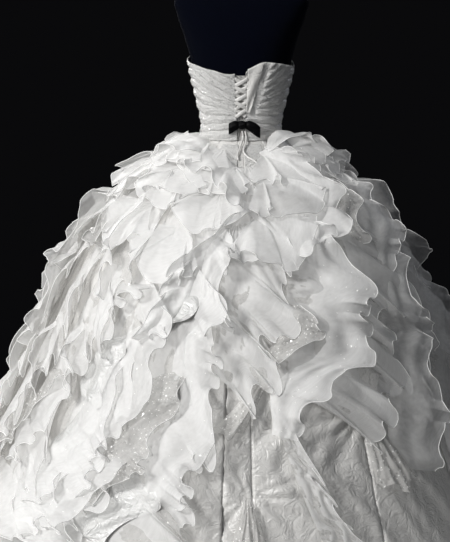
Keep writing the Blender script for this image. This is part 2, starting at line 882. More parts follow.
@dataclass
class SatinSkirt:
    """The satin gores, with their seams, pulled folds and catches."""

    rows: int = 210
    columns: int = 38
    hidden_rows: int = 56
    hidden_columns: int = 12
    more_columns: int = 6
    least_columns: int = 10
    wide_gore: float = 30.0
    shown: tuple[float, float] = (-50.0, 75.0)
    seam_depth: float = 0.0016
    seam_width: float = 0.24
    pucker: float = 0.0020
    puckers_a_metre: float = 44.0
    pucker_reach: float = 2.6
    sway: float = 0.0050
    small_sway: float = 0.0008
    sway_top: float = 0.85
    sway_fade: float = 0.40
    crease_rays: float = 13.0
    crease_start: float = 0.02
    dip_radius: float = 0.03
    wall: float = 0.0012
    # angle, height, radius, depth
    catches: tuple = ((6.6, 0.505, 0.20, 0.012), (30.0, 0.392, 0.22, 0.012), (1.5, 0.218, 0.17, 0.010))

    def relief(self, angle: Array, height: Array, first: float, last: float) -> Array:
        """How far the satin stands out from or dips under its even surface.

        Args:
            angle: Degrees from the centre back.
            height: Height on the skirt.
            first: The gore's first seam.
            last: The gore's last seam.

        Returns:
            The distance out.
        """
        near = np.minimum(np.abs(angle - first), np.abs(last - angle))
        slant = (height * self.puckers_a_metre + 0.45 * near
                 + 2.2 * wander(height * 2.6 + angle * 0.03, 5.0))
        pucker = self.pucker * np.sin(TURN * slant) - self.pucker / 2.0
        pucker = pucker * np.exp(-near / self.pucker_reach) * (0.5 + 0.5 * wander(height * 4.0, first))
        sway = -self.sway * (1.0 + wander(angle / 11.0 + 0.9 * wander(height * 1.4, 3.0), 9.0))
        sway -= self.small_sway * (1.0 + np.sin(5.0 * wander(angle / 12.0 - 1.2 * height, 14.0)))
        total = -self.seam_depth * np.exp(-((near / self.seam_width) ** 2)) + pucker
        total += sway * smooth_step((self.sway_top - height) / self.sway_fade)
        for place, level, reach, depth in self.catches:
            dx = np.radians(angle - place) * SKIRT.radius(level)
            dz = height - level
            distance = np.hypot(dx, dz) + 1e-6
            turn = np.arctan2(dz, dx)
            rays = np.sin(self.crease_rays * turn + 3.0 * np.sin(2.0 * turn))
            rays *= 0.6 + 0.4 * np.sin(3.0 * turn + 9.0 * level)
            rays = 0.42 * rays * smooth_step(distance / self.crease_start)
            rays *= np.exp(-((distance / reach) ** 1.3))
            total += depth * (rays - 0.75 * np.exp(-((distance / self.dip_radius) ** 2)))
        return total

    def build(self) -> None:
        """Builds each gore as its own sheet of satin."""
        ends = SKIRT.seams[1:] + (SKIRT.seams[0] + 360.0,)
        for number, (first, last) in enumerate(zip(SKIRT.seams, ends), start=1):
            middle = ((first + last) / 2.0 + 180.0) % 360.0 - 180.0
            seen = self.shown[0] < middle < self.shown[1]
            columns = self.columns if seen else self.hidden_columns
            columns = int(columns * (last - first) / self.wide_gore) + self.more_columns
            angle, height = np.meshgrid(
                np.linspace(first, last, max(self.least_columns, columns)),
                np.linspace(HEM_Z, SKIRT.top, self.rows if seen else self.hidden_rows))
            grid = SKIRT.point(angle, height, self.relief(angle, height, first, last))
            grid[..., 2] = np.maximum(grid[..., 2], HEM_Z)
            node = f"gore_{number:02d}"
            piece = lay(node + "_satin", grid, SATIN, node, self.wall)


# ---- gathered strips ----------------------------------------------------------------------------


@dataclass(frozen=True)
class Layer:
    """One layer of cloth on a gathered strip: how it differs from the strip's own form."""

    suffix: str
    finish: Finish
    reach: float = 1.0
    raise_share: float = 0.75
    waves_share: float = 0.66
    shift: float = 0.0
    ripple: float = 0.0085
    loop: float = 0.085
    sag: float = 0.018
    steps: int = 34
    across: int = 14
    edge: bool = True
    sequins: float = 0.0
    sequin_radius: float = 0.0014


OUTER = Layer("organza", ORGANZA)
SHEER = replace(OUTER, finish=ORGANZA_SHEER)
UNDER = Layer("tulle", TULLE, reach=0.86, raise_share=0.42, waves_share=1.0, shift=0.31, ripple=0.004,
              loop=0.03, sag=0.006, steps=12, across=9, edge=False, sequins=900.0)


@dataclass
class Strip:
    """A gathered strip whose free edge waves out from the skirt."""

    name: str
    place: Place
    waves: int
    wave_height: float
    lift: float
    lift_power: float
    seed: float
    warp: float = 0.045
    warp_turns: float = 1.7
    uneven: float = 0.30
    top_fade: float = 0.14
    low_fade: float = 0.07
    bulge: float = 0.10
    flare: float = 0.040
    crest_middle: float = 0.45
    roundness: float = 0.8
    crest_power: float = 2.6
    lift_at_top: float = 0.3
    seam_out: float = 0.0026
    fall: float = 0.55
    fall_fade: float = 0.30
    span_level: float = 0.6
    least_span: float = 0.05
    least_out: float = 0.0008
    length: float = 1.20
    curl_length: float = 0.078
    curl_width: float = 0.015
    gather: float = 0.0012
    flow: float = 0.0045
    drift: float = 0.004
    floor: float = HEM_Z + 0.004

    def warped(self, u: Array) -> Array:
        """A share along the strip, spaced unevenly so that its waves differ in length."""
        return u + self.warp * np.sin(TURN * self.warp_turns * u + self.seed) * 4.0 * u * (1.0 - u)

    def grid(self, layer: Layer) -> Array:
        """The points of one layer of the strip.

        Args:
            layer: Which layer.

        Returns:
            Points, along x across.
        """
        seed = self.seed
        u, t = shares(int(self.waves * layer.steps) + 1, layer.across + 1)
        waves = self.waves * layer.waves_share
        phase = TURN * (waves * u + layer.shift * smooth_step(u / 0.1))
        number = np.minimum(np.floor(waves * u), math.ceil(waves) - 1)
        sizes = [1.0 + self.uneven * np.sin(12.9898 * seed + 4.1414 * (number + k + 7 * layer.shift))
                 for k in (0, 1)]
        size = sum(sizes) / 2.0 if layer.shift > 0 else sizes[0]
        crest = ((1.0 - np.cos(phase)) / 2.0) ** self.roundness * size
        rise = smooth_step(u / self.top_fade)
        fade = rise * smooth_step((1.0 - u) / self.low_fade)
        curls = self.length / self.curl_length
        second = TURN * curls * u + 2.4 * wander(u * curls * 0.16, seed + 0.3)
        third = TURN * (5.3 * waves * u) + 2.8 * wander(u * waves * 0.5, seed + 0.7)
        strong = 0.72 + 0.5 * wander(u * curls * 0.21, seed + 1.1)
        edge = t**3
        bulge = self.bulge / waves * np.sin(2.0 * phase + 0.6 * wander(u * 4.0, seed + 2.0))
        loop = -layer.loop * self.curl_length / self.length * np.sin(2.0 * second) * edge
        shifted = self.warped(np.clip(u + (bulge * t + loop) * fade, 0.0, 1.0))
        start = self.place(self.warped(u), 0.0 * t, 0.0 * t)[0]
        end = self.place(self.warped(u), 0.0 * t + 1.0, 0.0 * t)[0]
        turn = np.radians(np.abs(end - start))
        reach = t * layer.reach * (1.0 + 0.05 * wander(u * waves * 0.5, seed + 3.0) * t)
        span = np.maximum(turn * SKIRT.radius(self.span_level), self.least_span)
        reach += self.curl_width / span * np.sin(second) * edge * strong * fade
        angle, height = self.place(shifted, reach, self.flare * (crest - self.crest_middle) * t * t * fade)
        width = turn * SKIRT.radius(height)
        fall = self.fall * width * reach**2 * smooth_step((height - HEM_Z) / self.fall_fade)
        height = np.maximum(height - layer.sag * (crest * t * t * fade) - fall, self.floor)
        inner = np.minimum(reach, 1.0)
        raised = SKIRT.radius(height) * turn * turn / 8.0 * 4.0 * inner * (1.0 - inner)
        lift = (self.lift_at_top + (1.0 - self.lift_at_top) * rise) * self.lift
        own = lift * t**self.lift_power + fade * self.wave_height * crest * t**self.crest_power
        raised += own * layer.raise_share
        raised += layer.ripple * np.cos(second + 0.5) * edge * fade * strong
        folds = np.sin(third + 1.4 * t) * (1.0 - t) ** 3 * t**0.5 * rise
        raised += self.gather * folds
        flow = 2.2 * t + 0.5 * wander(u * 3.1 + 0.3 * t, seed + 6.0)
        raised += self.flow * np.sin(TURN * flow) * np.sin(np.pi * t) ** 0.6 * fade
        drift = wander(u * waves * 0.8 + 0.35 * t, seed + 5.0)
        raised += self.drift * drift * np.sin(np.pi * t) * fade
        return SKIRT.point(angle, height, np.maximum(self.seam_out + raised, self.least_out))

    def build(self, *layers: Layer) -> None:
        """Builds the strip's layers.

        Args:
            layers: The layers, the one that stands for the solid first.
        """
        for layer in layers:
            grid = self.grid(layer)
            name = f"{self.name}_{layer.suffix}"
            slot = layer.finish.slot
            piece = lay(name, grid, layer.finish, self.name if layer is layers[0] else "")
            if layer.edge:
                rolled_edge(name + "_edge", grid[:, -1], slot)
            if layer.sequins > 0.0:
                sequins(name + "_flakes", piece, slot, layer.sequins, int(self.seed) + 3,
                                      layer.sequin_radius)


@dataclass
class Cascades:
    """The organza cascades that run down the skirt."""

    levels: tuple[float, ...] = (0.05, 0.50, 0.95)
    lift: float = 0.026
    lift_power: float = 1.1
    droop: float = 0.040
    droop_fade: float = 0.15
    meander: float = 0.10
    meander_turns: float = 2.3
    meander_shift: float = 1.7
    flare: float = 0.040
    sheer_flare: float = 0.012
    sheer: tuple[str, ...] = ("cascade_12", "cascade_13")
    # name, angle_low, angle_middle, angle_top, z_top, z_low, reach_low, reach_middle, reach_top,
    # waves, wave_height
    rows: tuple = (
        ("cascade_01", -171, -170, -168, 0.990, 0.022, 0.92, 0.98, 0.96, 6, 0.046),
        ("cascade_02", -150, -149, -147, 0.985, 0.022, 0.86, 0.94, 0.98, 6, 0.050),
        ("cascade_03", -129, -128, -125, 0.992, 0.022, 0.95, 0.92, 0.94, 6, 0.044),
        ("cascade_04", -108, -106, -102, 0.985, 0.022, 0.90, 0.98, 0.98, 9, 0.056),
        ("cascade_05", -91, -88, -82, 0.990, 0.022, 0.84, 0.92, 0.98, 9, 0.050),
        ("cascade_06", -77, -73, -64, 0.985, 0.022, 0.80, 0.90, 0.98, 9, 0.046),
        ("cascade_07", -63, -57, -48, 0.992, 0.022, 0.86, 0.88, 0.96, 8, 0.050),
        ("cascade_08", -49, -41, -33, 0.985, 0.022, 0.94, 0.92, 0.95, 8, 0.048),
        ("cascade_09", -33, -25, -18, 0.990, 0.022, 0.98, 0.88, 0.92, 8, 0.054),
        ("cascade_10", -5, -7, -5, 0.965, 0.500, 0.60, 0.66, 0.88, 5, 0.026),
        ("cascade_11", 8.5, 9.5, 22, 0.985, 0.460, 0.50, 0.80, 0.98, 8, 0.024),
        ("cascade_12", 36.5, 38, 60, 0.985, 0.430, 0.30, 0.72, 0.92, 5, 0.016),
        ("cascade_13", 51, 54, 74, 0.990, 0.022, 0.84, 0.92, 0.96, 8, 0.026),
        ("cascade_14", 71, 73, 89, 0.985, 0.022, 0.88, 0.94, 0.96, 9, 0.054),
        ("cascade_15", 90, 91, 105, 0.990, 0.022, 0.92, 0.94, 0.98, 6, 0.050),
        ("cascade_16", 110, 111, 121, 0.985, 0.022, 0.86, 0.94, 0.96, 6, 0.046),
        ("cascade_17", 130, 131, 138, 0.992, 0.022, 0.94, 0.92, 0.95, 5, 0.048),
        ("cascade_18", 150, 151, 154, 0.985, 0.022, 0.88, 0.96, 0.96, 6, 0.046),
        ("cascade_19", 169, 170, 173, 0.990, 0.022, 0.90, 0.96, 0.98, 5, 0.044),
    )

    def path(self, number: int) -> Place:
        """Where one cascade's points lie.

        Args:
            number: Which row of the table.

        Returns:
            A function from shares along and across the strip, and a flare, to angle and height.
        """
        row = self.rows[number]
        stops = self.rows[(number + 1) % len(self.rows)][1:4]
        if stops[0] < row[1]:
            stops = tuple(angle + 360.0 for angle in stops)
        z_top, z_low = row[4:6]

        def place(s: Array, t: Array, flare: Array) -> tuple[Array, Array]:
            """The strip's points.

            Args:
                s: Share along the strip.
                t: Share across it.
                flare: How far it spreads to the side there.

            Returns:
                Angle and height.
            """
            seam_z = z_top + (z_low - z_top) * s
            start, end, reach = (smooth(seam_z, self.levels, values)
                                 for values in (row[1:4], stops, row[6:9]))
            turn = TURN * self.meander_turns * s + self.meander_shift * number
            reach *= 1.0 + self.meander * np.sin(turn)
            droop = self.droop * t * smooth_step((seam_z - HEM_Z) / self.droop_fade)
            angle = start + (end - start) * reach * t
            return angle + np.degrees(flare / SKIRT.radius(seam_z)), seam_z - droop

        return place

    def build(self) -> None:
        """Builds every cascade with its layers."""
        for number, row in enumerate(self.rows):
            sheer = row[0] in self.sheer
            strip = Strip(row[0], self.path(number), row[9], row[10], self.lift, self.lift_power,
                          float(number), flare=self.sheer_flare if sheer else self.flare)
            strip.build(SHEER if sheer else OUTER, UNDER)


@dataclass
class LowStrip:
    """The short strip that slants down over the open satin."""

    angles: tuple[float, float] = (6.5, 17.5)
    spans: tuple[float, float] = (5.0, 8.0)
    z_top: float = 0.440
    z_low: float = 0.040
    droop: float = 0.020
    flare_share: float = 0.15
    length: float = 0.50

    def place(self, s: Array, t: Array, flare: Array) -> tuple[Array, Array]:
        """Where the strip's points lie.

        Args:
            s: Share along the strip.
            t: Share across it.
            flare: How far it spreads to the side there.

        Returns:
            Angle and height.
        """
        angle, span = (first + (last - first) * s for first, last in (self.angles, self.spans))
        height = self.z_top + (self.z_low - self.z_top) * s - self.droop * t * (1.0 - s)
        return angle + span * t + np.degrees(self.flare_share * flare / SKIRT.radius(self.z_top)), height

    def build(self) -> None:
        """Builds the strip."""
        strip = Strip("cascade_low", self.place, waves=4, wave_height=0.018, lift=0.0182,
                      lift_power=1.1, seed=31.0, length=self.length)
        strip.build(OUTER, UNDER)


@dataclass
class HipFlounces:
    """The soft flounces round the hips, under the waist seam."""

    side_gap: float = 0.0006
    flare_share: float = 0.5
    lift_power: float = 0.7
    length: float = 0.42
    # name, angle_from, angle_to, slant_from, slant_to, z_top, z_low, lift, waves, wave_height
    rows: tuple = (
        ("hip_flounce_back_left", -90, -27, 0, 15, 1.052, 0.938, 0.044, 3, 0.026),
        ("hip_flounce_back_right", 27, 90, -12, 0, 1.052, 0.934, 0.026, 4, 0.020),
        ("hip_flounce_front_right", 90, 180, 0, 0, 1.052, 0.938, 0.050, 5, 0.038),
        ("hip_flounce_front_left", 180, 270, 0, 0, 1.052, 0.938, 0.050, 5, 0.038),
    )

    def path(self, row: tuple) -> Place:
        """Where one flounce's points lie.

        Args:
            row: Its row of the table.

        Returns:
            A function from shares along and across the flounce, and a flare, to angle and height.
        """
        _, first, last, slant_from, slant_to, z_top, z_low = row[:7]
        gap = math.degrees(self.side_gap / float(SKIRT.radius(z_top)))

        def place(s: Array, t: Array, flare: Array) -> tuple[Array, Array]:
            """Angle and height at shares along and across the flounce."""
            start, end = first + gap + slant_from * t, last - gap + slant_to * t
            return start + (end - start) * s, z_top + (z_low - z_top) * t - self.flare_share * flare

        return place

    def build(self) -> None:
        """Builds every flounce."""
        for seed, row in enumerate(self.rows, start=40):
            Strip(row[0], self.path(row), row[8], row[9], row[7], self.lift_power, float(seed),
                  fall=0.0, length=self.length).build(OUTER)


# ---- loose petals, ruffles and drapes -----------------------------------------------------------


@dataclass(frozen=True)
class PetalCut:
    """One loose petal of cloth, caught at a point and fanning down the skirt."""

    name: str
    angle: float
    height: float
    lean: float
    length: float
    half_fan: float
    lift: float
    waves: int


@dataclass
class Petals:
    """Soft round petals that break over the cascades."""

    steps: int = 28
    down: int = 15
    curl_length: float = 0.094
    loop: float = 0.085
    fold: float = 0.014
    curl: float = 0.0068
    scallop: float = 0.0095
    gather: float = 0.0010
    root: float = 0.012
    out: float = 0.006
    ring_seed: int = 21
    ring_jitter: float = 5.0
    ring_lean: float = 22.0
    ring_scale: tuple[float, float] = (0.88, 1.14)
    ring_rise: tuple[float, float] = (-0.02, 0.01)
    # height, count, length, half_fan, lift, from_angle, to_angle
    rings: tuple = ((1.045, 13, 0.135, 62, 0.046, 60, 300), (0.985, 14, 0.165, 58, 0.044, 80, 285))
    # angle, height, lean, length, half_fan, lift, waves
    placed: tuple = (
        (-40, 1.062, -34, 0.150, 60, 0.066, 2), (-64, 1.050, -22, 0.140, 60, 0.070, 3),
        (-22, 1.046, -24, 0.140, 56, 0.046, 2), (24, 1.030, 24, 0.165, 60, 0.046, 2),
        (50, 1.040, 52, 0.140, 46, 0.062, 2), (4, 1.000, -8, 0.120, 48, 0.034, 2),
        (-9, 1.000, -16, 0.150, 54, 0.044, 3), (-1, 0.860, 10, 0.130, 36, 0.044, 2),
        (66, 1.010, 22, 0.130, 48, 0.040, 2), (-34, 0.985, -20, 0.170, 62, 0.058, 2),
        (15, 0.970, 28, 0.180, 60, 0.056, 2), (-11, 0.935, -12, 0.150, 60, 0.052, 2),
        (-46, 0.900, -24, 0.170, 60, 0.056, 3), (9, 0.880, 22, 0.180, 58, 0.054, 2),
        (-22, 0.850, -22, 0.180, 56, 0.050, 2),
    )

    def grid(self, cut: PetalCut, seed: int) -> Array:
        """The points of one petal, from its caught point to its free edge.

        Args:
            cut: The petal's sizes.
            seed: Which uneven waves it has.

        Returns:
            Points, down x around.
        """
        r, share = shares(self.down, cut.waves * self.steps + 1, -1.0)
        turn = np.radians(cut.half_fan) * (share + 0.10 * np.sin(np.pi * share * 2.0 + seed))
        phase = np.pi * cut.waves * (share + 1.0) + 0.8 * wander(share, seed + 0.2)
        curls = 2.0 * math.radians(cut.half_fan) * cut.length / self.curl_length
        small = np.pi * curls * (share + 1.0) + 1.8 * wander(share * curls * 0.12, seed + 0.4)
        strong = 0.75 + 0.45 * wander(share * curls * 0.2, seed + 0.6)
        outline = 1.0 - 0.16 * share**2 + 0.09 * wander(share * 0.8, seed + 0.8)
        edge = r**3
        turn -= self.loop * self.curl_length / cut.length * np.sin(2.0 * small) * edge
        turn += math.radians(cut.lean)
        size = cut.length * r * outline + self.scallop * np.sin(small) * edge * strong
        size *= 1.0 + 0.05 * np.cos(phase) * r
        side = size * np.sin(turn) + self.root * share * (1.0 - r)
        side += 0.5 * self.fold * np.sin(phase) * r**1.5
        down = size * np.cos(turn)
        height = SKIRT.below(cut.height, np.maximum(down, 0.25 * down))
        height = np.clip(height, HEM_Z + self.out, SKIRT.top)
        angle = cut.angle + np.degrees(side / SKIRT.radius(height))
        drop = 1.0 - 0.55 * smooth_step((np.abs(turn) - 0.9) / 0.9)
        crest = ((1.0 - np.cos(phase)) / 2.0) ** 0.8 * (0.75 + 0.35 * strong)
        raised = cut.lift * (r**0.65) * (1.0 - 0.42 * r**2.2) * drop
        raised = raised + self.fold * crest * r**1.6 + self.curl * np.cos(small + 0.5) * edge * strong
        gathers = self.gather * np.sin(3.1 * phase + 2.0 * r) * (1.0 - r) * smooth_step(r / 0.15)
        raised = np.maximum(raised + gathers, 0.001)
        clear = SKIRT.radius(height) * np.radians(angle - cut.angle) ** 2 / 2.0
        return SKIRT.point(angle, height, self.out + raised + 0.25 * clear)

    def cuts(self) -> list[PetalCut]:
        """Lists the petals.

        Returns:
            The placed ones first, and then the even rings on the far sides.
        """
        made = [PetalCut(f"petal_{k:02d}", *row) for k, row in enumerate(self.placed, start=1)]
        draw = np.random.default_rng(self.ring_seed)
        for tier, (height, count, length, half_fan, lift, first, last) in enumerate(self.rings, start=1):
            for k in range(count):
                angle = first + (last - first) * (k + 0.5) / count
                angle += float(draw.uniform(-self.ring_jitter, self.ring_jitter))
                lean = float(draw.uniform(-self.ring_lean, self.ring_lean))
                scale = float(draw.uniform(*self.ring_scale))
                level = height + float(draw.uniform(*self.ring_rise))
                made.append(PetalCut(f"petal_ring_{tier}_{k + 1:02d}", angle, level, lean,
                                     length * scale, half_fan, lift * scale, 2 + k % 2))
        return made

    def build(self) -> None:
        """Builds every petal with its rolled edge."""
        for seed, cut in enumerate(self.cuts(), start=60):
            grid = self.grid(cut, seed)
            piece = lay(cut.name, grid, ORGANZA)
            edge = rolled_edge(cut.name + "_edge", grid[-1], ORGANZA.slot)


@dataclass(frozen=True)
class RuffleCut:
    """One long ruffle: where its free edge runs and how far back it is sewn down."""

    name: str
    marks: tuple[tuple[float, float], ...]
    width_top: float
    width_low: float
    rise: float
    lift: float
    seed: float = 0.0
    turned: float = 0.0
    finish: Finish = ORGANZA
    loose: float = 1.0
    glitter: float = 0.0
    coarse: float = 1.0


@dataclass
class LongRuffles:
    """Long soft ruffles that flow down the skirt, with curls along their free edges."""

    step: float = 0.0044
    across: int = 18
    curl_length: float = 0.078
    curl_width: float = 0.0150
    curl_height: float = 0.0100
    loop: float = 0.090
    fold_height: float = 0.0048
    folds: float = 1.7
    gather_height: float = 0.0010
    gather_length: float = 0.028
    wave_height: float = 0.014
    wave_length: float = 0.21
    edge_lift: float = 0.012
    dip: float = 0.012
    out: float = 0.010
    top_fade: float = 0.10
    low_fade: float = 0.08
    taper_top: float = 0.22
    taper_low: float = 0.20
    weave: float = 0.10
    floor: float = HEM_Z + 0.005
    tulle_loose: float = 0.8
    tulle_flakes: float = 5500.0
    satin_loose: float = 0.22
    far_turns: tuple[float, ...] = (-84.0, -168.0)
    far_coarse: float = 2.4
    # each table: name, marks down the free edge (angle, height), width_top, width_low, rise, lift
    tulle_rows: tuple = (
        ("tulle_fall", ((-13, 0.50), (-15, 0.39), (-29, 0.15)), 12, 13, 0.04, 0.050),
        ("tulle_outer", ((-60, 0.47), (-56, 0.34), (-64, 0.16)), 12, 12, 0.04, 0.022),
        ("tulle_puff", ((17, 0.66), (19, 0.59), (9, 0.52)), 9, 5, 0.02, 0.060),
        ("tulle_high", ((-64, 0.94), (-62, 0.86), (-56, 0.76)), 10, 10, 0.03, 0.052),
        ("tulle_shade", ((58, 0.93), (52, 0.86), (46, 0.79)), 13, 12, 0.03, 0.040),
        ("tulle_side", ((-47, 0.45), (-50, 0.37), (-55, 0.30)), 9, 8, 0.02, 0.040),
    )
    satin_rows: tuple = (
        ("satin_high", ((-30, 0.570), (-32, 0.480), (-35, 0.38)), 10, 10, 0.02, 0.026),
        ("satin_outer", ((-31, 0.385), (-34, 0.310), (-40, 0.22)), 8, 9, 0.02, 0.026),
        ("satin_low", ((-13, 0.260), (-18, 0.180), (-28, 0.07)), 10, 12, 0.03, 0.026),
        ("satin_bit", ((-14, 0.500), (-15, 0.455), (-18, 0.42)), 6, 6, 0.01, 0.030),
        ("satin_upper", ((-11, 0.690), (-14, 0.650), (-20, 0.60)), 9, 9, 0.02, 0.026),
    )
    left_rows: tuple = (
        ("hip_wrap", ((-26, 1.010), (-60, 0.995), (-92, 0.930)), 2, 6, 0.075, 0.070),
        ("centre_fall", ((-44, 0.985), (-16, 0.945), (2, 0.885)), 3, -3, 0.085, 0.050),
        ("side_upper", ((-86, 0.90), (-76, 0.80), (-80, 0.66)), 16, 14, 0.05, 0.066),
        ("inner_upper", ((-42, 0.93), (-46, 0.82), (-41, 0.64)), 12, 11, 0.04, 0.046),
        ("crossing", ((2, 0.89), (-16, 0.78), (-27, 0.56)), -10, -11, 0.05, 0.044),
        ("middle", ((-2, 0.82), (-5, 0.72), (-2, 0.60)), 9, 10, 0.04, 0.044),
        ("side_middle", ((-80, 0.72), (-71, 0.61), (-76, 0.44)), 14, 13, 0.05, 0.056),
        ("curl_line", ((-26, 0.70), (-36, 0.62), (-35, 0.50)), 10, 10, 0.03, 0.036),
        ("outer_low", ((-64, 0.54), (-57, 0.38), (-65, 0.18)), 13, 13, 0.05, 0.046),
        ("outer_mid", ((-48, 0.57), (-43, 0.40), (-54, 0.18)), 12, 12, 0.05, 0.042),
        ("broad_low", ((-30, 0.52), (-28, 0.33), (-48, 0.09)), 12, 13, 0.06, 0.044),
        ("broad", ((-19, 0.64), (-21, 0.43), (-36, 0.11)), 13, 13, 0.06, 0.048),
        ("inner_low", ((-8, 0.62), (-5, 0.43), (-13, 0.16)), 11, 12, 0.05, 0.046),
        ("hem_left", ((-76, 0.36), (-70, 0.22), (-78, 0.06)), 13, 13, 0.04, 0.048),
        ("hem_corner", ((-80, 0.03), (-56, 0.02), (-30, 0.03)), 1, 2, 0.13, 0.090),
        ("hem_sweep", ((-22, 0.30), (-28, 0.18), (-44, 0.035)), 14, 15, 0.06, 0.060),
        ("hem_inner", ((-38, 0.24), (-36, 0.14), (-46, 0.025)), 12, 13, 0.04, 0.058),
    )
    right_rows: tuple = (
        ("hip_peak", ((24, 1.02), (52, 1.02), (78, 0.985)), -3, -6, 0.07, 0.092),
        ("round_fall", ((30, 1.03), (45, 0.94), (42, 0.86)), 18, 15, 0.03, 0.050),
        ("big_fall", ((28, 0.870), (34, 0.760), (37, 0.690), (32, 0.635), (34, 0.580), (30, 0.510),
                      (22, 0.475), (15, 0.420), (12, 0.340)), 16, 8, 0.03, 0.056),
        ("under_round", ((46, 0.870), (36, 0.815), (18, 0.780)), 2, -2, 0.09, 0.046),
        ("shade_edge", ((88, 0.93), (80, 0.81), (85, 0.66)), 15, 14, 0.05, 0.064),
        ("shade_upper", ((72, 0.94), (65, 0.78), (52, 0.69)), 13, 12, 0.05, 0.046),
        ("shade_middle", ((64, 0.76), (56, 0.64), (63, 0.47)), 13, 13, 0.05, 0.044),
        ("shade_far", ((86, 0.64), (78, 0.50), (84, 0.32)), 14, 13, 0.05, 0.050),
        ("shade_low", ((56, 0.56), (51, 0.42), (45, 0.20)), 12, 12, 0.05, 0.044),
        ("hem_right", ((70, 0.34), (66, 0.22), (70, 0.06)), 13, 13, 0.04, 0.040),
    )
    # the ruffles with a few loose flakes on them, and how many in a square metre
    flecked: tuple = (("big_fall", 900.0), ("broad", 450.0), ("broad_low", 600.0), ("inner_low", 500.0),
                      ("hem_sweep", 700.0))

    def grid(self, cut: RuffleCut) -> Array:
        """The points of one ruffle.

        Args:
            cut: The ruffle's sizes.

        Returns:
            Points, along x across.
        """
        steps = np.array(cut.marks)
        steps[:, 0] = np.radians(steps[:, 0]) * SKIRT.radius(steps[:, 1])
        run = np.concatenate([[0.0], np.cumsum(np.linalg.norm(np.diff(steps, axis=0), axis=1))])
        rows = tuple((place, *mark) for place, mark in zip(run / run[-1], cut.marks))
        length = route_length(SKIRT.point(*read(rows, np.linspace(0.0, 1.0, 60), 1, 2)))
        u, t = shares(int(length / (self.step * cut.coarse)) + 2,
                      int(self.across / math.sqrt(cut.coarse)) + 1)
        run, seed = u * length, cut.seed
        curls = TURN * run / self.curl_length + 3.0 * wander(run * 2.2, seed + 0.2)
        strong = cut.loose * np.clip(0.62 + 0.95 * wander(run * 2.9, seed + 0.4), 0.12, 1.35)
        ends = smooth_step(u / self.top_fade) * smooth_step((1.0 - u) / self.low_fade)
        edge = t**3.2
        shift = -self.loop * self.curl_length / length * np.sin(2.0 * curls) * edge * strong * ends
        s = np.clip(u + shift, 0.0, 1.0)
        low_taper = 0.45 + 0.55 * smooth_step((1.0 - u) / self.taper_low)
        taper = 0.35 + 0.65 * smooth_step(u / self.taper_top) * low_taper
        width = (cut.width_top + (cut.width_low - cut.width_top) * s) * taper
        edge_angle, edge_z = read(rows, s, 1, 2)
        metres = np.hypot(np.radians(width) * SKIRT.radius(edge_z), cut.rise * 1.4)
        share = t + self.curl_width / metres * np.sin(curls) * edge * strong * ends
        share *= 1.0 + 0.07 * wander(run * 1.1, seed + 0.6) * t
        waves = TURN * run / self.wave_length + 2.0 * wander(run * 0.8, seed + 0.8)
        share += self.weave * np.sin(waves) * t**2 * ends
        angle = edge_angle - width * (1.0 - share) + cut.turned
        height = edge_z + cut.rise * taper * (1.0 - share)
        height -= self.dip * (1.0 + np.cos(waves)) * t**2 * ends
        height = np.clip(height, self.floor, SKIRT.top)
        soft = self.folds * t + 0.55 * wander(run * 1.5 + 0.3 * t, seed + 1.1)
        folds = self.fold_height * np.sin(TURN * soft) * np.sin(np.pi * t) ** 0.6
        gathers = TURN * run / self.gather_length + 2.0 * wander(run * 6.0, seed + 1.3)
        raised = cut.lift * t**0.8 * (1.0 - 0.30 * t * t) * (0.35 + 0.65 * ends)
        raised += folds * (0.4 + 0.6 * ends)
        raised += self.gather_height * np.sin(gathers) * (1.0 - t) ** 2 * t**0.4
        raised += cut.loose * self.wave_height * (1.0 + np.sin(waves + 0.9)) * t**1.6 * ends
        raised += self.curl_height * np.cos(curls + 0.5) * edge * strong * ends
        raised += cut.loose * self.edge_lift * t**5 * ends
        turn = np.radians(width)
        clear = SKIRT.radius(height) * turn * turn / 2.0 * t * (1.0 - t)
        return SKIRT.point(angle, height, self.out + np.maximum(raised, 0.0) + clear)

    def cuts(self) -> list[RuffleCut]:
        """Lists the ruffles.

        Returns:
            The back's own, and then the left side's again for the far sides.
        """
        made, flecks = [], dict(self.flecked)
        for seed, row in enumerate(self.left_rows + self.right_rows, start=100):
            finish = ORGANZA_SHEER if "shade" in row[0] else ORGANZA
            made.append(RuffleCut("ruffle_" + row[0], *row[1:], seed, finish=finish,
                                  glitter=flecks.get(row[0], 0.0)))
        for seed, row in enumerate(self.tulle_rows, start=190):
            made.append(RuffleCut("ruffle_" + row[0], *row[1:], seed, finish=TULLE,
                                  loose=self.tulle_loose, glitter=self.tulle_flakes))
        for seed, row in enumerate(self.satin_rows, start=210):
            made.append(RuffleCut("ruffle_" + row[0], *row[1:], seed, finish=SATIN_STRIP,
                                  loose=self.satin_loose))
        for number, turned in enumerate(self.far_turns, start=1):
            for seed, row in enumerate(self.left_rows, start=130 + 20 * number):
                made.append(RuffleCut(f"ruffle_{row[0]}_far_{number}", *row[1:], seed, turned,
                                      coarse=self.far_coarse))
        return made

    def build(self) -> None:
        """Builds every ruffle with its rolled edge, and flakes where it has them."""
        for cut in self.cuts():
            grid = self.grid(cut)
            slot = cut.finish.slot
            piece = lay(cut.name, grid, cut.finish)
            radius = EDGE_RADIUS / 2.0 if slot is Slot.SATIN else EDGE_RADIUS
            extras = [rolled_edge(cut.name + "_edge", grid[:, -1], slot, radius)]
            if cut.glitter > 0.0:
                extras.append(sequins(cut.name + "_flakes", piece, slot, cut.glitter, cut.seed))


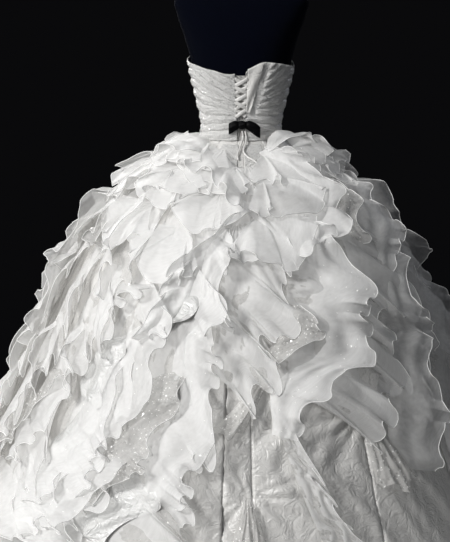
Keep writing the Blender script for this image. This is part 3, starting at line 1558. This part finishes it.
@dataclass
class Drapes:
    """The tulle drapes under the points where the satin is caught up."""

    down: int = 26
    steps: int = 16
    crease: float = 0.0010
    out: float = 0.003
    floor: float = HEM_Z + 0.004
    flakes: float = 5500.0
    # name, angle, z_top, length, lean, half_width, puff, folds
    rows: tuple = (
        ("drape_centre", 6.6, 0.500, 0.150, -9.0, 3.6, 0.030, 1),
        ("drape_right", 30.0, 0.388, 0.200, 5.0, 5.5, 0.034, 2),
        ("drape_low", 1.5, 0.215, 0.180, 0.5, 4.2, 0.036, 2),
    )

    def build(self) -> None:
        """Builds each drape."""
        for seed, (name, angle, z_top, length, lean, half_width, puff, folds) in enumerate(self.rows):
            down, across = shares(self.down, (folds + 1) * self.steps + 1, -1.0)
            width = 0.12 + 0.88 * down**0.8
            arch = np.maximum(np.cos(np.pi * across / 2.0), 0.0) ** 0.7
            turn = TURN * folds * (across + 0.16 * wander(down * 1.3 + across, seed + 2.0))
            fine = self.crease * np.sin(9.0 * across + 2.5 * wander(across, seed + 4.0) + 2.0 * down)
            raised = puff * arch * (0.82 + 0.18 * np.cos(turn)) * down**0.7
            raised += fine * down**0.5 * (1.0 - 0.5 * down)
            hang = length * down * (1.0 - 0.18 * across**2 + 0.05 * np.cos(7.0 * across) * down)
            grid = SKIRT.point(angle + lean * down + half_width * width * across,
                               np.maximum(z_top - hang, self.floor), self.out + np.maximum(raised, 0.0))
            piece = lay(name + "_tulle", grid, TULLE, name)
            flakes = sequins(name + "_flakes", piece, TULLE.slot, self.flakes, 90 + seed)


@dataclass
class HipLace:
    """The sequin-lace pieces on both sides of the opening below the waist."""

    angles: tuple[float, float] = (3.2, 24.0)
    top: float = 1.061
    low: tuple[float, float] = (0.985, 1.030)
    scallop: float = 0.004
    scallops: int = 6
    fold: float = 0.0012
    out: float = 0.0026
    rows: int = 30
    columns: int = 50
    wall: float = 0.0008
    flakes: float = 30000.0
    flake_radius: float = 0.0014

    def build(self) -> None:
        """Builds both pieces with their scalloped lower edges."""
        for name, side in (("hip_lace_left", -1), ("hip_lace_right", 1)):
            down, across = shares(self.rows, self.columns)
            angle, low = (first + (last - first) * across for first, last in (self.angles, self.low))
            low += self.scallop * np.abs(np.sin(np.pi * self.scallops * across))
            fold = self.fold * np.sin(30.0 * down + 6.0 * across) * down
            grid = SKIRT.point(side * angle, self.top + (low - self.top) * down, self.out + fold)
            piece = lay(name + "_net", grid, SEQUIN_NET, name, self.wall)
            flakes = sequins(name + "_sequins", piece, SEQUIN_NET.slot, self.flakes, 30 + side,
                             self.flake_radius)


# ---- the bodice ---------------------------------------------------------------------------------


@dataclass
class Bodice:
    """The ruched sequin-net bodice with its placket, turned-back strip, loops and laces."""

    ruching: float = 0.0052
    fine_share: float = 0.30
    back_rows: int = 120
    back_columns: int = 72
    front_pleats: int = 7
    front_steps: int = 14
    front_columns: int = 68
    net_wall: float = 0.0018
    net_sequins: float = 14000.0
    binding_radius: float = 0.0014
    back_end: float = 89.9
    rounds: int = 3
    front_start: float = 90.1
    front_span: float = 179.8
    placket_rows: int = 60
    placket_columns: int = 24
    placket_angle: float = 15.0
    placket_drop: float = 0.004
    placket_out: float = 0.0017
    placket_crease: float = 0.0007
    placket_wall: float = 0.0008
    placket_flakes: float = 30000.0
    placket_flake_radius: float = 0.0010
    facing_rows: int = 60
    facing_columns: int = 18
    facing_low: float = 1.158
    facing_top: float = 1.303
    facing_near: float = 0.027
    facing_spread: float = 0.043
    facing_inset: float = 0.0012
    facing_drop: float = 0.001
    facing_clear: float = 0.0014
    facing_ripple: float = 0.0006
    facing_puff: float = 0.0010
    facing_wave: float = 0.0016
    facing_wall: float = 0.0012
    facing_margin: float = 0.020
    facing_fade: float = 0.006
    facing_notch: float = 0.012
    loops_a_side: int = 12
    loop_steps: int = 14
    loop_start: float = 0.012
    loop_end: float = 0.006
    loop_inset: float = 0.0006
    loop_depth: float = 0.0036
    loop_out: float = 0.0012
    loop_radius: float = 0.0010
    lace_turns: int = 6
    lace_top: float = 1.258
    lace_pitch: float = 0.0225
    lace_half_width: float = 0.0056
    lace_flat: float = 0.34
    lace_clear: float = 0.00235
    lace_out: float = 0.0020
    lace_reach: float = 0.0015
    lace_sides: int = 12
    fan_radius: float = 0.145
    fan_start: float = 0.014
    full_space: float = 0.026
    pleats_a_line: float = 1.25
    # angle, height
    top_rows: tuple = (
        (-180, 1.306), (-147, 1.346), (-115, 1.326), (-90, 1.312), (-60, 1.297), (-32, 1.282),
        (-7, 1.271), (7, 1.286), (20, 1.303), (38, 1.302), (60, 1.296), (90, 1.293), (115, 1.318),
        (147, 1.346), (180, 1.306),
    )
    # height_at_centre, slope
    fan_rows: tuple = (
        (1.055, 0.00), (1.092, -0.10), (1.122, -0.16), (1.142, 0.00), (1.156, 0.28), (1.168, 0.52),
        (1.184, 0.72), (1.210, 0.80), (1.242, 0.78), (1.276, 0.74), (1.310, 0.70), (1.345, 0.66),
    )
    # height, half_gap
    opening_rows: tuple = ((1.070, 0.0110), (1.120, 0.0120), (1.150, 0.0130), (1.220, 0.0165),
                           (1.300, 0.0195))

    def top_edge(self, angle: Array) -> Array:
        """Height of the top edge."""
        return read(self.top_rows, (np.asarray(angle, float) + 180.0) % 360.0 - 180.0, 1)[0]

    def half_gap(self, height: Array) -> Array:
        """Half of the laced opening's width."""
        return read_straight(self.opening_rows, height)

    def pleats(self, phase: Array, across: Array, size: Array | float) -> Array:
        """Height of the raised pleats.

        Args:
            phase: How many pleats lie under each point.
            across: Share from the panel's inner edge, or from its nearest side.
            size: Share of the pleats' full height.

        Returns:
            The height over the plain wall.
        """
        wobble = 0.10 * np.sin(9.0 * across + 0.6 * phase) + 0.16 * wander(across * 1.3, 3.0)
        turn = TURN * (phase + wobble)
        ridge = ((1.0 - np.cos(turn + 0.55 * np.sin(turn))) / 2.0) ** 0.9
        uneven = 0.72 + 0.28 * np.sin(5.7 * np.floor(phase + wobble) + 5.0 * across)
        fine = np.sin(2.6 * turn + 7.0 * across + 3.0 * wander(across + 0.1 * phase, 8.0))
        raised = ridge * uneven + self.fine_share * (0.5 + 0.5 * fine) * (0.4 + 0.6 * ridge)
        return self.ruching * raised * size

    def fan(self, height: Array, angle: Array) -> tuple[Array, Array]:
        """Where each point of a back panel lies between the lines that its pleats follow.

        Args:
            height: Height of each point.
            angle: Degrees from the centre back, on either side.

        Returns:
            How many pleats lie under each point, and the share of their full height there.
        """
        turn = np.radians(np.abs(angle))
        out = np.maximum(self.fan_radius * (0.7 * np.sin(turn) + 0.3 * turn) - self.fan_start, 0.0)
        out = out * (1.0 - 1.1 * out)
        lines = [centre + slope * out for centre, slope in self.fan_rows]
        phase, size = 0.0 * height, 0.0 * height + 0.4
        for low, high in zip(lines, lines[1:]):
            phase += np.clip((height - low) / (high - low), 0.0, 1.0)
            inside = (height >= low) & (height < high)
            size = np.where(inside, np.clip((high - low) / self.full_space, 0.25, 1.0), size)
        return self.pleats_a_line * phase, size

    def facing_line(self, height: Array) -> Array:
        """How far from the middle the turned-back strip reaches."""
        share = np.clip((height - self.facing_low) / (self.facing_top - self.facing_low), 0.0, 1.0)
        return self.facing_near + self.facing_spread * share

    def back_panel(self, name: str, side: int) -> None:
        """One ruched back panel.

        Args:
            name: The solid's name.
            side: -1 or +1.
        """
        share, across = shares(self.back_rows, self.back_columns)
        height = np.full_like(share, WAIST_Z)
        # the edge's angle and the height depend on each other, and settle in a few rounds
        for _ in range(self.rounds):
            edge = TORSO.angle_at(self.half_gap(height), height, PANEL_IN)
            angle = side * (edge + (self.back_end - edge) * across)
            height = WAIST_Z + (self.top_edge(angle) - WAIST_Z) * share
        phase, size = self.fan(height, angle)
        raised = self.pleats(phase, across, size * (0.45 + 0.55 * smooth_step(across / 0.10)))
        if side > 0:
            x = TORSO.point(angle, height, PANEL_IN)[..., 0]
            flat = smooth_step((self.facing_line(height) + self.facing_margin - x) / self.facing_fade)
            raised *= (1.0 - np.where(height < self.facing_low - self.facing_notch, 0.0, flat))
        self.net_panel(name, TORSO.point(angle, height, PANEL_FACE + raised))

    def front_panel(self) -> None:
        """The ruched front with its sweetheart edge."""
        order, across = shares(self.front_pleats * self.front_steps + 1, self.front_columns)
        angle = self.front_start + self.front_span * across
        share = order + 0.10 * np.sin(np.pi * order) * (np.abs(2.0 * across - 1.0) - 0.5)
        height = WAIST_Z + (self.top_edge(angle) - WAIST_Z) * share
        raised = self.pleats(self.front_pleats * order, np.minimum(across, 1.0 - across), 1.0)
        self.net_panel("bodice_front", TORSO.point(angle, height, PANEL_FACE + raised))

    def net_panel(self, node: str, grid: Array) -> None:
        """Makes one sequinned panel.

        Args:
            node: The solid's name.
            grid: The panel's points, rows x columns.
        """
        piece = lay(node + "_net", grid, SEQUIN_NET, node, self.net_wall)
        flakes = sequins(node + "_sequins", piece, SEQUIN_NET.slot, self.net_sequins, len(node))
        binding = rolled_edge(node + "_binding", grid[-1], Slot.SATIN, self.binding_radius, SATIN_CORD)

    def placket(self) -> None:
        """The glitter panel behind the lacing."""
        side = self.placket_angle
        top = float(self.top_edge(-7.0)) - self.placket_drop
        height, angle = np.meshgrid(np.linspace(WAIST_Z, top, self.placket_rows),
                                    np.linspace(-side, side, self.placket_columns), indexing="ij")
        crease = self.placket_crease * np.sin(height * 260.0 + 2.0 * np.sin(angle * 0.2))
        grid = TORSO.point(angle, height, self.placket_out + crease)
        piece = lay("placket_tulle", grid, TULLE, "placket", self.placket_wall)
        flakes = sequins("placket_flakes", piece, TULLE.slot, self.placket_flakes, 12,
                         self.placket_flake_radius)

    def facing(self) -> None:
        """The smooth strip turned back along the right laced edge."""
        base = PANEL_FACE + 2.0 * SEAM_GAP + self.facing_clear
        top = float(self.top_edge(12.0))
        share, across = shares(self.facing_rows, self.facing_columns)
        height = self.facing_low + (top - self.facing_drop - self.facing_low) * share
        near = self.half_gap(height) + self.facing_inset
        angle = TORSO.angle_at(near + (self.facing_line(height) - near) * across, height, base)
        height += (self.top_edge(angle) - top) * share
        soft = self.facing_ripple * np.sin(14.0 * share + 3.0 * across)
        soft += self.facing_puff * np.sin(np.pi * across)
        soft += self.facing_wave * (1.0 + np.sin(TURN * (1.1 * share - 0.8 * across)))
        grid = TORSO.point(angle, height, base + soft)
        piece = lay("facing_right_satin", grid, SATIN, "facing_right", self.facing_wall)

    def loops(self) -> None:
        """The satin button loops beside both laced edges."""
        for name, side in (("loops_left", -1), ("loops_right", 1)):
            top = float(self.top_edge(side * 7.0)) - self.loop_end
            share = np.linspace(0.0, 1.0, self.loops_a_side * self.loop_steps + 1)
            height = WAIST_Z + self.loop_start + (top - WAIST_Z - self.loop_start) * share
            scallop = np.abs(np.sin(np.pi * self.loops_a_side * share)) ** 0.6
            x = self.half_gap(height) - self.loop_inset - self.loop_depth * scallop
            angle = side * TORSO.angle_at(x, height, PANEL_IN)
            line = TORSO.point(angle, height, PANEL_IN + self.loop_out)
            piece = rolled_edge(name + "_satin", line, Slot.SATIN, self.loop_radius, SATIN_CORD)
            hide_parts(name)

    def laces(self) -> None:
        """Two satin laces that criss-cross between the loops."""
        out = PANEL_FACE + 2.0 * SEAM_GAP + self.lace_out
        for name, first_side, shift in (("lace_a", 1, self.lace_clear), ("lace_b", -1, -self.lace_clear)):
            marks = []
            for turn in range(self.lace_turns):
                height = self.lace_top - turn * self.lace_pitch
                x = first_side * (-1) ** turn * (float(self.half_gap(height)) + self.lace_reach)
                marks.append(TORSO.point(float(TORSO.angle_at(x, height, out)), height, out))
                marks.append(TORSO.point(0.0, height - self.lace_pitch / 2.0, out + shift))
            rings = tube_rings(smooth_route(marks[:-1]), self.lace_half_width, self.lace_sides,
                               self.lace_flat)
            settle(ring_object(name + "_satin", rings, SATIN_CORD.build()), (name,))

    def build(self) -> None:
        """Builds the bodice's pieces from the inside out."""
        self.placket()
        self.back_panel("bodice_back_left", -1)
        self.back_panel("bodice_back_right", 1)
        self.front_panel()
        self.facing()
        self.loops()
        self.laces()


@dataclass
class BlackBow:
    """The black satin bow under the lacing."""

    x: float = 0.0035
    z: float = 1.121
    out: float = 0.0138
    half_width: float = 0.0115
    half_height: float = 0.0130
    half_depth: float = 0.0092
    lobe_start: float = 0.0095
    lobe_stretch: float = 1.24
    ribbon: float = 0.045
    pleat: float = 0.22
    pleat_lean: float = 40.0
    pleat_end: float = 0.042
    lobe_rings: int = 26
    knot_rings: int = 18
    sides: int = 64
    # along, half_height, half_depth, droop
    left_rows: tuple = (
        (0.000, 0.0100, 0.0035, 0.000), (0.008, 0.0145, 0.0058, -0.002),
        (0.017, 0.0170, 0.0062, -0.007), (0.025, 0.0160, 0.0030, -0.012),
    )
    right_rows: tuple = (
        (0.000, 0.0100, 0.0035, 0.000), (0.008, 0.0150, 0.0060, -0.002),
        (0.019, 0.0180, 0.0068, -0.009), (0.029, 0.0190, 0.0060, -0.017),
        (0.036, 0.0165, 0.0030, -0.023),
    )

    def ribbon_piece(self, node: str, *places: Array) -> None:
        """Args:
            node: The solid's name.
            places: The x, y and z of its rings.
        """
        rings = np.stack(spread(*places), axis=-1)
        piece = settle(ring_object(node + "_ribbon", rings, BLACK_SATIN.build()), (node,))

    def build(self) -> None:
        """Builds both lobes and the knot."""
        rear = -(float(read(TORSO.rows, self.z, 2)[0]) + self.out)
        turn = (TURN * np.arange(self.sides) / self.sides)[None, :]
        for node, side, rows in (("bow_left", -1, self.left_rows), ("bow_right", 1, self.right_rows)):
            along = np.linspace(0.0, rows[-1][0], self.lobe_rings)[:, None]
            high, deep, droop = read(rows, along, 1, 2, 3)
            pleat = self.pleat * np.cos(6.0 * turn + self.pleat_lean * along)
            pleat = 1.0 + pleat * (1.0 - along / self.pleat_end)
            self.ribbon_piece(node, self.x + side * (self.lobe_start + along * self.lobe_stretch),
                              rear + deep * pleat * np.cos(turn),
                              self.z + droop + high * (1.0 + 0.03 * np.sin(5.0 * turn)) * np.sin(turn))
        share = np.linspace(-1.0, 1.0, self.knot_rings)[:, None]
        swell = 0.62 + 0.38 * np.sqrt(1.0 - share**2)
        pleat = 1.0 + 0.07 * np.cos(6.0 * turn + 2.5 * share)
        self.ribbon_piece("bow_knot", self.x + self.half_width * share,
                          rear + self.half_depth * swell * pleat * np.cos(turn),
                          self.z + self.half_height * swell * np.sin(turn))


@dataclass
class LaceTails:
    """The two free ends of the satin lacing."""

    radius: float = 0.0026
    sides: int = 16
    lacing_out: float = 0.0032
    clear: float = 0.0006
    # angle, height, out
    left: tuple = (
        (1.5, 1.1035, 0.0100), (2.5, 1.085, 0.0100), (0.5, 1.062, 0.0095), (-2.0, 1.045, 0.0080),
        (-3.5, 1.030, 0.0075), (-2.5, 1.018, 0.0075),
    )
    right: tuple = (
        (5.5, 1.1035, 0.0105), (7.0, 1.085, 0.0105), (5.5, 1.062, 0.0100), (2.5, 1.042, 0.0085),
        (6.0, 1.026, 0.0080), (12.0, 1.014, 0.0080), (13.0, 1.004, 0.0080), (8.5, 0.998, 0.0080),
    )

    def build(self) -> None:
        """Builds both tails as free cords."""
        waist_out = PANEL_FACE + self.lacing_out + self.radius + self.clear
        for node, rows in (("lace_tail_left", self.left), ("lace_tail_right", self.right)):
            route = smooth_route([TORSO.point(angle, height, waist_out) if height > WAIST_Z
                                  else SKIRT.point(angle, height, out) for angle, height, out in rows])
            rings = tube_rings(route, self.radius, self.sides)
            piece = settle(ring_object(node + "_satin", rings, SATIN_CORD.build()), (node,))


# ---- the stage ----------------------------------------------------------------------------------


@dataclass
class Studio:
    """The camera, the lights, the floor and the backdrop's colour."""

    camera_place: tuple[float, float, float] = (0.0, -3.6, 1.38)
    pitch: float = 11.4
    yaw_offset: float = 16.0 / 1161.29
    lens: float = 77.13
    floor_radius: float = 1.35
    floor_sides: int = 96
    backdrop: tuple[float, float, float] = (0.0030, 0.0030, 0.0034)
    ambient: tuple[float, float, float] = (0.60, 0.66, 0.75)
    ambient_strength: float = 0.032
    # name, place, aim_height, width, power, colour
    lights: tuple = (
        ("key_light", (-4.6, -3.4, 4.6), 0.6, 1.5, 365.0, (1.0, 0.993, 0.982)),
        ("soft_left_light", (-3.5, -3.0, 2.0), 0.5, 3.0, 58.0, (1.0, 0.995, 0.99)),
        ("front_light", (0.6, -4.2, 4.4), 0.4, 1.5, 20.0, (0.99, 0.995, 1.0)),
        ("fill_light", (3.4, -2.6, 1.5), 0.6, 2.4, 1.5, (0.86, 0.88, 1.0)),
        ("top_light", (0.3, -0.6, 4.2), 0.9, 1.2, 8.0, (0.96, 0.98, 1.0)),
        ("back_light_left", (-1.8, 3.4, 2.6), 0.8, 1.4, 60.0, (1.0, 0.98, 0.96)),
        ("back_light_right", (2.2, 3.2, 2.0), 0.8, 1.4, 7.0, (0.86, 0.88, 1.0)),
    )

    @staticmethod
    def aimed(name: str, data: bpy.types.ID, place: tuple, ahead: Vector) -> Piece:
        """Puts a lamp or the camera at its place.

        Args:
            name: Its name.
            data: The lamp or the camera.
            place: Where it stands.
            ahead: The way that it faces.

        Returns:
            The object.
        """
        piece = linked(name, data)
        piece.location = place
        piece.rotation_euler = ahead.to_track_quat("-Z", "Y").to_euler()
        return piece

    def build(self) -> None:
        """Builds the stage."""
        data = bpy.data.cameras.new("camera")
        data.lens = self.lens
        pitch, yaw = math.radians(self.pitch), math.atan(self.yaw_offset)
        level = math.cos(pitch)
        ahead = Vector((-math.sin(yaw) * level, math.cos(yaw) * level, -math.sin(pitch)))
        bpy.context.scene.camera = self.aimed("camera", data, self.camera_place, ahead)
        for name, place, aim_height, width, power, colour in self.lights:
            lamp = bpy.data.lights.new(name, "AREA")
            lamp.shape = "DISK"
            lamp.size = width
            lamp.energy = power
            lamp.color = colour
            self.aimed(name, lamp, place, Vector((0.0, 0.0, aim_height)) - Vector(place))
        self.add_world()
        turn = TURN * np.arange(self.floor_sides) / self.floor_sides
        edge = np.stack([self.floor_radius * np.cos(turn), self.floor_radius * np.sin(turn), 0.0 * turn],
                        axis=1)
        mesh_object("studio_floor", edge, [list(range(self.floor_sides))], FLOOR.build())

    def add_world(self) -> None:
        """The even light all round, and the plain dark backdrop that the camera sees."""
        world = bpy.data.worlds.new("studio_world")
        bpy.context.scene.world = world
        world.use_nodes = True
        nodes = Nodes(world.node_tree)
        seen = world.node_tree.nodes["Background"]
        nodes.feed(seen, {"Color": (*self.backdrop, 1.0)})
        around = nodes.add("ShaderNodeBackground", {"Color": (*self.ambient, 1.0),
                                                    "Strength": self.ambient_strength})[0]
        camera_ray = nodes.add("ShaderNodeLightPath")["Is Camera Ray"]
        mixed = nodes.add("ShaderNodeMixShader", {"Fac": camera_ray, 1: around, 2: seen.outputs[0]})[0]
        nodes.feed(world.node_tree.nodes["World Output"], {"Surface": mixed})


def write_sizes() -> None:
    """Writes the solids' box and the dressed gown's box, as plain lists of numbers."""
    bpy.context.view_layer.update()


def main() -> None:
    """Builds the stage and the gown's sub-assemblies in order."""
    logging.basicConfig(level=logging.INFO, format="%(message)s")
    for part in (Studio, LaceTails, DressForm, SatinSkirt, Cascades, LowStrip, HipFlounces,
                 LongRuffles, Petals, Drapes, HipLace, Bodice, BlackBow):
        part().build()
    bpy.context.scene.cycles.transparent_max_bounces = 24
    bpy.context.scene.view_settings.view_transform = "Standard"
    write_sizes()


if __name__ == "__main__":
    main()
